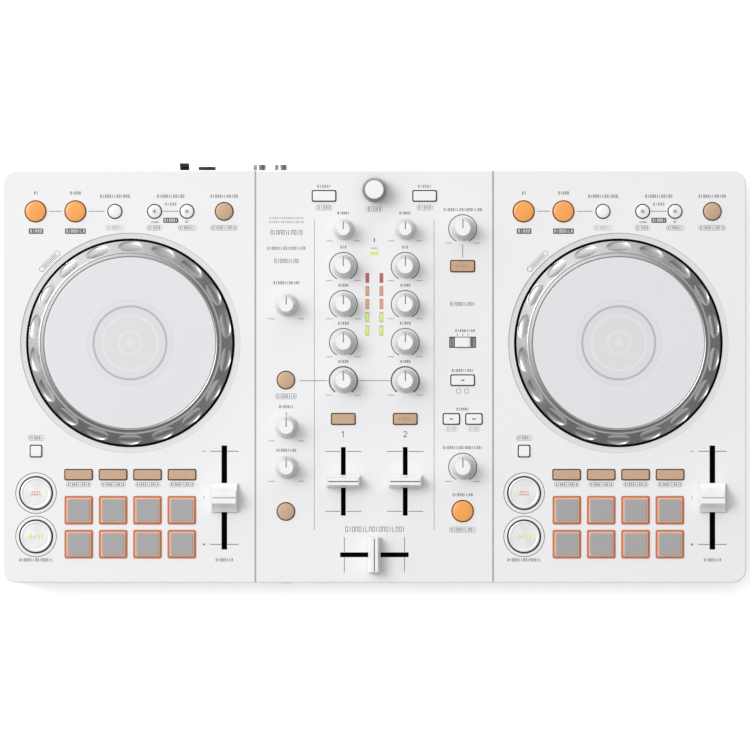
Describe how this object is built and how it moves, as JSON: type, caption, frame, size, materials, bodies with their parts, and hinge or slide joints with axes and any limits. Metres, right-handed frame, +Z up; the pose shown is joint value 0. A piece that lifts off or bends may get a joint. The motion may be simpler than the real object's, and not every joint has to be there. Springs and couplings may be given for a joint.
{
  "type": "dj controller",
  "caption": "White two-deck disc jockey controller with dimpled jog wheels, lit pads, sliders and a centre mixer with knobs and faders.",
  "frame": {"origin": "middle of the bounding box's bottom face, on the surface that the rubber feet stand on", "axes": "+X towards the user's right along the front edge, +Y away from the user towards the rear connectors, +Z up out of the control panel"},
  "size_m": [0.482, 0.2724, 0.0584],
  "materials": {
    "white_case": "fine satin texture, moulded",
    "black_case": "fine matt texture, moulded",
    "circuit_board": "solder-masked board",
    "jack_plastic": "black moulded connector bodies",
    "foot_rubber": "matt",
    "jog_metal": "silver metallic paint on a dimpled rim",
    "jog_plate": "smooth satin",
    "white_cap": "semi-gloss",
    "tan_cap": "translucent satin",
    "orange_cap": "translucent, lit",
    "pad_rubber": "matt silicone with a lit rim"
  },
  "bodies": {
    "case": {"top_case": "white_case", "bottom_case": "black_case", "main_board": "circuit_board", "rear_jack_board": "jack_plastic", "foot_front_left": "foot_rubber", "foot_front_right": "foot_rubber", "foot_rear_left": "foot_rubber", "foot_rear_right": "foot_rubber"},
    "jog_left": {"jog_ring_left": "jog_metal", "jog_plate_left": "jog_plate"},
    "loop_buttons_left": {"loop_buttons_left": "orange_cap"},
    "call_buttons_left": {"call_buttons_left": "white_cap"},
    "sync_button_left": {"sync_button_left": "tan_cap"},
    "shift_button_left": {"shift_button_left": "white_cap"},
    "cue_button_left": {"cue_button_left": "white_cap"},
    "play_button_left": {"play_button_left": "white_cap"},
    "mode_buttons_left": {"mode_buttons_left": "tan_cap"},
    "pad_mat_left": {"pad_mat_left": "pad_rubber"},
    "tempo_slider_left": {"tempo_slider_left": "white_cap"},
    "jog_right": {"jog_ring_right": "jog_metal", "jog_plate_right": "jog_plate"},
    "loop_buttons_right": {"loop_buttons_right": "orange_cap"},
    "call_buttons_right": {"call_buttons_right": "white_cap"},
    "sync_button_right": {"sync_button_right": "tan_cap"},
    "shift_button_right": {"shift_button_right": "white_cap"},
    "cue_button_right": {"cue_button_right": "white_cap"},
    "play_button_right": {"play_button_right": "white_cap"},
    "mode_buttons_right": {"mode_buttons_right": "tan_cap"},
    "pad_mat_right": {"pad_mat_right": "pad_rubber"},
    "tempo_slider_right": {"tempo_slider_right": "white_cap"},
    "trim_knob_1": {"trim_knob_1": "white_cap"},
    "high_knob_1": {"high_knob_1": "white_cap"},
    "mid_knob_1": {"mid_knob_1": "white_cap"},
    "low_knob_1": {"low_knob_1": "white_cap"},
    "filter_knob_1": {"filter_knob_1": "white_cap"},
    "channel_cue_1": {"channel_cue_1": "tan_cap"},
    "channel_fader_1": {"channel_fader_1": "white_cap"},
    "trim_knob_2": {"trim_knob_2": "white_cap"},
    "high_knob_2": {"high_knob_2": "white_cap"},
    "mid_knob_2": {"mid_knob_2": "white_cap"},
    "low_knob_2": {"low_knob_2": "white_cap"},
    "filter_knob_2": {"filter_knob_2": "white_cap"},
    "channel_cue_2": {"channel_cue_2": "tan_cap"},
    "channel_fader_2": {"channel_fader_2": "white_cap"},
    "crossfader": {"crossfader": "white_cap"},
    "load_button_left": {"load_button_left": "white_cap"},
    "load_button_right": {"load_button_right": "white_cap"},
    "mic_level_knob": {"mic_level_knob": "white_cap"},
    "smart_filter_button": {"smart_filter_button": "tan_cap"},
    "headphone_mix_knob": {"headphone_mix_knob": "white_cap"},
    "headphone_level_knob": {"headphone_level_knob": "white_cap"},
    "smart_fader_button": {"smart_fader_button": "tan_cap"},
    "master_level_knob": {"master_level_knob": "white_cap"},
    "master_cue_button": {"master_cue_button": "tan_cap"},
    "effect_select_button": {"effect_select_button": "white_cap"},
    "beat_buttons": {"beat_buttons": "white_cap"},
    "effect_depth_knob": {"effect_depth_knob": "white_cap"},
    "effect_on_button": {"effect_on_button": "orange_cap"},
    "browse_knob": {"browse_knob": "white_cap"},
    "effect_channel_switch": {"effect_channel_switch": "white_cap"}
  },
  "joints": [
    {"name": "jog_left_turn", "type": "hinge", "parent": "case", "child": "jog_left", "pos_m": [-0.1581, 0.01935, 0.048], "axis": [0, 0, -1], "continuous": true},
    {"name": "loop_buttons_left_press", "type": "slide", "parent": "case", "child": "loop_buttons_left", "axis": [0, 0, -1], "range_m": [0, 0.001], "stiffness_N_per_m": 600, "springref_m": -0.0005},
    {"name": "call_buttons_left_press", "type": "slide", "parent": "case", "child": "call_buttons_left", "axis": [0, 0, -1], "range_m": [0, 0.001], "stiffness_N_per_m": 400, "springref_m": -0.0005},
    {"name": "sync_button_left_press", "type": "slide", "parent": "case", "child": "sync_button_left", "axis": [0, 0, -1], "range_m": [0, 0.001], "stiffness_N_per_m": 400, "springref_m": -0.0005},
    {"name": "shift_button_left_press", "type": "slide", "parent": "case", "child": "shift_button_left", "axis": [0, 0, -1], "range_m": [0, 0.001], "stiffness_N_per_m": 400, "springref_m": -0.0005},
    {"name": "cue_button_left_press", "type": "slide", "parent": "case", "child": "cue_button_left", "axis": [0, 0, -1], "range_m": [0, 0.001], "stiffness_N_per_m": 500, "springref_m": -0.0005},
    {"name": "play_button_left_press", "type": "slide", "parent": "case", "child": "play_button_left", "axis": [0, 0, -1], "range_m": [0, 0.001], "stiffness_N_per_m": 500, "springref_m": -0.0005},
    {"name": "mode_buttons_left_press", "type": "slide", "parent": "case", "child": "mode_buttons_left", "axis": [0, 0, -1], "range_m": [0, 0.001], "stiffness_N_per_m": 600, "springref_m": -0.0005},
    {"name": "pad_mat_left_press", "type": "slide", "parent": "case", "child": "pad_mat_left", "axis": [0, 0, -1], "range_m": [0, 0.0008], "stiffness_N_per_m": 1200, "springref_m": -0.0005},
    {"name": "tempo_slider_left_slide", "type": "slide", "parent": "case", "child": "tempo_slider_left", "axis": [0, 1, 0], "range_m": [-0.03, 0.03]},
    {"name": "jog_right_turn", "type": "hinge", "parent": "case", "child": "jog_right", "pos_m": [0.1581, 0.01935, 0.048], "axis": [0, 0, -1], "continuous": true},
    {"name": "loop_buttons_right_press", "type": "slide", "parent": "case", "child": "loop_buttons_right", "axis": [0, 0, -1], "range_m": [0, 0.001], "stiffness_N_per_m": 600, "springref_m": -0.0005},
    {"name": "call_buttons_right_press", "type": "slide", "parent": "case", "child": "call_buttons_right", "axis": [0, 0, -1], "range_m": [0, 0.001], "stiffness_N_per_m": 400, "springref_m": -0.0005},
    {"name": "sync_button_right_press", "type": "slide", "parent": "case", "child": "sync_button_right", "axis": [0, 0, -1], "range_m": [0, 0.001], "stiffness_N_per_m": 400, "springref_m": -0.0005},
    {"name": "shift_button_right_press", "type": "slide", "parent": "case", "child": "shift_button_right", "axis": [0, 0, -1], "range_m": [0, 0.001], "stiffness_N_per_m": 400, "springref_m": -0.0005},
    {"name": "cue_button_right_press", "type": "slide", "parent": "case", "child": "cue_button_right", "axis": [0, 0, -1], "range_m": [0, 0.001], "stiffness_N_per_m": 500, "springref_m": -0.0005},
    {"name": "play_button_right_press", "type": "slide", "parent": "case", "child": "play_button_right", "axis": [0, 0, -1], "range_m": [0, 0.001], "stiffness_N_per_m": 500, "springref_m": -0.0005},
    {"name": "mode_buttons_right_press", "type": "slide", "parent": "case", "child": "mode_buttons_right", "axis": [0, 0, -1], "range_m": [0, 0.001], "stiffness_N_per_m": 600, "springref_m": -0.0005},
    {"name": "pad_mat_right_press", "type": "slide", "parent": "case", "child": "pad_mat_right", "axis": [0, 0, -1], "range_m": [0, 0.0008], "stiffness_N_per_m": 1200, "springref_m": -0.0005},
    {"name": "tempo_slider_right_slide", "type": "slide", "parent": "case", "child": "tempo_slider_right", "axis": [0, 1, 0], "range_m": [-0.03, 0.03]},
    {"name": "trim_knob_1_turn", "type": "hinge", "parent": "case", "child": "trim_knob_1", "pos_m": [-0.0201, 0.09285, 0.05], "axis": [0, 0, -1], "range_deg": [-150, 150]},
    {"name": "high_knob_1_turn", "type": "hinge", "parent": "case", "child": "high_knob_1", "pos_m": [-0.0201, 0.06895, 0.05], "axis": [0, 0, -1], "range_deg": [-150, 150]},
    {"name": "mid_knob_1_turn", "type": "hinge", "parent": "case", "child": "mid_knob_1", "pos_m": [-0.0201, 0.04425, 0.05], "axis": [0, 0, -1], "range_deg": [-150, 150]},
    {"name": "low_knob_1_turn", "type": "hinge", "parent": "case", "child": "low_knob_1", "pos_m": [-0.0201, 0.01965, 0.05], "axis": [0, 0, -1], "range_deg": [-150, 150]},
    {"name": "filter_knob_1_turn", "type": "hinge", "parent": "case", "child": "filter_knob_1", "pos_m": [-0.0201, -0.00515, 0.05], "axis": [0, 0, -1], "range_deg": [-150, 150]},
    {"name": "channel_cue_1_press", "type": "slide", "parent": "case", "child": "channel_cue_1", "axis": [0, 0, -1], "range_m": [0, 0.001], "stiffness_N_per_m": 400, "springref_m": -0.0005},
    {"name": "channel_fader_1_slide", "type": "slide", "parent": "case", "child": "channel_fader_1", "axis": [0, 1, 0], "range_m": [-0.0195, 0.0195]},
    {"name": "trim_knob_2_turn", "type": "hinge", "parent": "case", "child": "trim_knob_2", "pos_m": [0.02, 0.09285, 0.05], "axis": [0, 0, -1], "range_deg": [-150, 150]},
    {"name": "high_knob_2_turn", "type": "hinge", "parent": "case", "child": "high_knob_2", "pos_m": [0.02, 0.06895, 0.05], "axis": [0, 0, -1], "range_deg": [-150, 150]},
    {"name": "mid_knob_2_turn", "type": "hinge", "parent": "case", "child": "mid_knob_2", "pos_m": [0.02, 0.04425, 0.05], "axis": [0, 0, -1], "range_deg": [-150, 150]},
    {"name": "low_knob_2_turn", "type": "hinge", "parent": "case", "child": "low_knob_2", "pos_m": [0.02, 0.01965, 0.05], "axis": [0, 0, -1], "range_deg": [-150, 150]},
    {"name": "filter_knob_2_turn", "type": "hinge", "parent": "case", "child": "filter_knob_2", "pos_m": [0.02, -0.00515, 0.05], "axis": [0, 0, -1], "range_deg": [-150, 150]},
    {"name": "channel_cue_2_press", "type": "slide", "parent": "case", "child": "channel_cue_2", "axis": [0, 0, -1], "range_m": [0, 0.001], "stiffness_N_per_m": 400, "springref_m": -0.0005},
    {"name": "channel_fader_2_slide", "type": "slide", "parent": "case", "child": "channel_fader_2", "axis": [0, 1, 0], "range_m": [-0.0195, 0.0195]},
    {"name": "crossfader_slide", "type": "slide", "parent": "case", "child": "crossfader", "axis": [1, 0, 0], "range_m": [-0.0195, 0.0195]},
    {"name": "load_button_left_press", "type": "slide", "parent": "case", "child": "load_button_left", "axis": [0, 0, -1], "range_m": [0, 0.001], "stiffness_N_per_m": 400, "springref_m": -0.0005},
    {"name": "load_button_right_press", "type": "slide", "parent": "case", "child": "load_button_right", "axis": [0, 0, -1], "range_m": [0, 0.001], "stiffness_N_per_m": 400, "springref_m": -0.0005},
    {"name": "mic_level_knob_turn", "type": "hinge", "parent": "case", "child": "mic_level_knob", "pos_m": [-0.057, 0.04405, 0.05], "axis": [0, 0, -1], "range_deg": [-150, 150]},
    {"name": "smart_filter_button_press", "type": "slide", "parent": "case", "child": "smart_filter_button", "axis": [0, 0, -1], "range_m": [0, 0.001], "stiffness_N_per_m": 400, "springref_m": -0.0005},
    {"name": "headphone_mix_knob_turn", "type": "hinge", "parent": "case", "child": "headphone_mix_knob", "pos_m": [-0.057, -0.03505, 0.05], "axis": [0, 0, -1], "range_deg": [-150, 150]},
    {"name": "headphone_level_knob_turn", "type": "hinge", "parent": "case", "child": "headphone_level_knob", "pos_m": [-0.057, -0.06115, 0.05], "axis": [0, 0, -1], "range_deg": [-150, 150]},
    {"name": "smart_fader_button_press", "type": "slide", "parent": "case", "child": "smart_fader_button", "axis": [0, 0, -1], "range_m": [0, 0.001], "stiffness_N_per_m": 400, "springref_m": -0.0005},
    {"name": "master_level_knob_turn", "type": "hinge", "parent": "case", "child": "master_level_knob", "pos_m": [0.0572, 0.09335, 0.05], "axis": [0, 0, -1], "range_deg": [-150, 150]},
    {"name": "master_cue_button_press", "type": "slide", "parent": "case", "child": "master_cue_button", "axis": [0, 0, -1], "range_m": [0, 0.001], "stiffness_N_per_m": 400, "springref_m": -0.0005},
    {"name": "effect_select_button_press", "type": "slide", "parent": "case", "child": "effect_select_button", "axis": [0, 0, -1], "range_m": [0, 0.001], "stiffness_N_per_m": 400, "springref_m": -0.0005},
    {"name": "beat_buttons_press", "type": "slide", "parent": "case", "child": "beat_buttons", "axis": [0, 0, -1], "range_m": [0, 0.001], "stiffness_N_per_m": 400, "springref_m": -0.0005},
    {"name": "effect_depth_knob_turn", "type": "hinge", "parent": "case", "child": "effect_depth_knob", "pos_m": [0.0572, -0.06115, 0.05], "axis": [0, 0, -1], "range_deg": [-150, 150]},
    {"name": "effect_on_button_press", "type": "slide", "parent": "case", "child": "effect_on_button", "axis": [0, 0, -1], "range_m": [0, 0.001], "stiffness_N_per_m": 400, "springref_m": -0.0005},
    {"name": "browse_knob_turn", "type": "hinge", "parent": "case", "child": "browse_knob", "pos_m": [0, 0.11835, 0.05], "axis": [0, 0, -1], "continuous": true},
    {"name": "effect_channel_switch_slide", "type": "slide", "parent": "case", "child": "effect_channel_switch", "axis": [1, 0, 0], "range_m": [-0.0034, 0.0034]}
  ]
}
